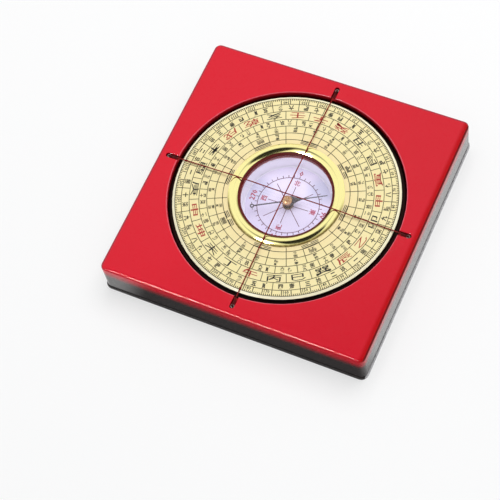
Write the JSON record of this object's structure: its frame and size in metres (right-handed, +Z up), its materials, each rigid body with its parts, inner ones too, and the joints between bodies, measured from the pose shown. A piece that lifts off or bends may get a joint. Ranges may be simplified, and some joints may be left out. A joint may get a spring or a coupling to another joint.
{
  "type": "chinese compass",
  "caption": "Small square luopan: red lacquered board, turning printed dial, brass-bezelled needle capsule and crossed threads above them.",
  "frame": {"origin": "centre of the underside, on the dial's turning axis", "axes": "+Z up out of the dial, +Y towards the board's far side (thread_north_south runs along it), +X to the right"},
  "size_m": [0.1008, 0.1008, 0.0163],
  "materials": {
    "red_lacquer": "glossy red lacquer on black bakelite",
    "black_bakelite": "satin black",
    "dark_backing": "matt dark sheet",
    "grey_felt": "felt",
    "dial_yellow": "printed pale yellow",
    "pale_plastic": "satin",
    "card_white": "printed card",
    "pale_silicone": "soft",
    "clear_glass": "clear",
    "maroon_plastic": "satin maroon",
    "polished_brass": "polished",
    "turned_brass": "turned",
    "blued_steel": "darkened",
    "bright_steel": "bright",
    "jewel_glass": "polished",
    "red_thread": "waxed thread",
    "natural_nylon": "satin"
  },
  "bodies": {
    "board": {"board": "red_lacquer", "base_sheet": "dark_backing", "slip_ring": "grey_felt", "thread_north_south": "red_thread", "thread_east_west": "red_thread", "thread_bead_north": "turned_brass", "thread_bead_east": "turned_brass", "thread_bead_south": "turned_brass", "thread_bead_west": "turned_brass", "thread_anchor_north": "natural_nylon", "thread_anchor_east": "natural_nylon", "thread_anchor_south": "natural_nylon", "thread_anchor_west": "natural_nylon"},
    "dial": {"dial_disc": "black_bakelite", "dial_face": "dial_yellow", "capsule_cup": "pale_plastic", "compass_card": "card_white", "pivot_base": "turned_brass", "pivot_pin": "bright_steel", "glass_seal": "pale_silicone", "glass": "clear_glass", "retaining_ring": "maroon_plastic", "bezel": "polished_brass"},
    "needle": {"needle": "blued_steel", "needle_cap": "turned_brass", "cap_jewel": "jewel_glass"}
  },
  "joints": [
    {"name": "dial_spin", "type": "hinge", "parent": "board", "child": "dial", "pos_m": [0, 0, 0.01436], "axis": [0, 0, 1], "continuous": true},
    {"name": "needle_spin", "type": "hinge", "parent": "dial", "child": "needle", "pos_m": [0, 0, 0.0104], "axis": [0, 0, 1], "continuous": true}
  ]
}
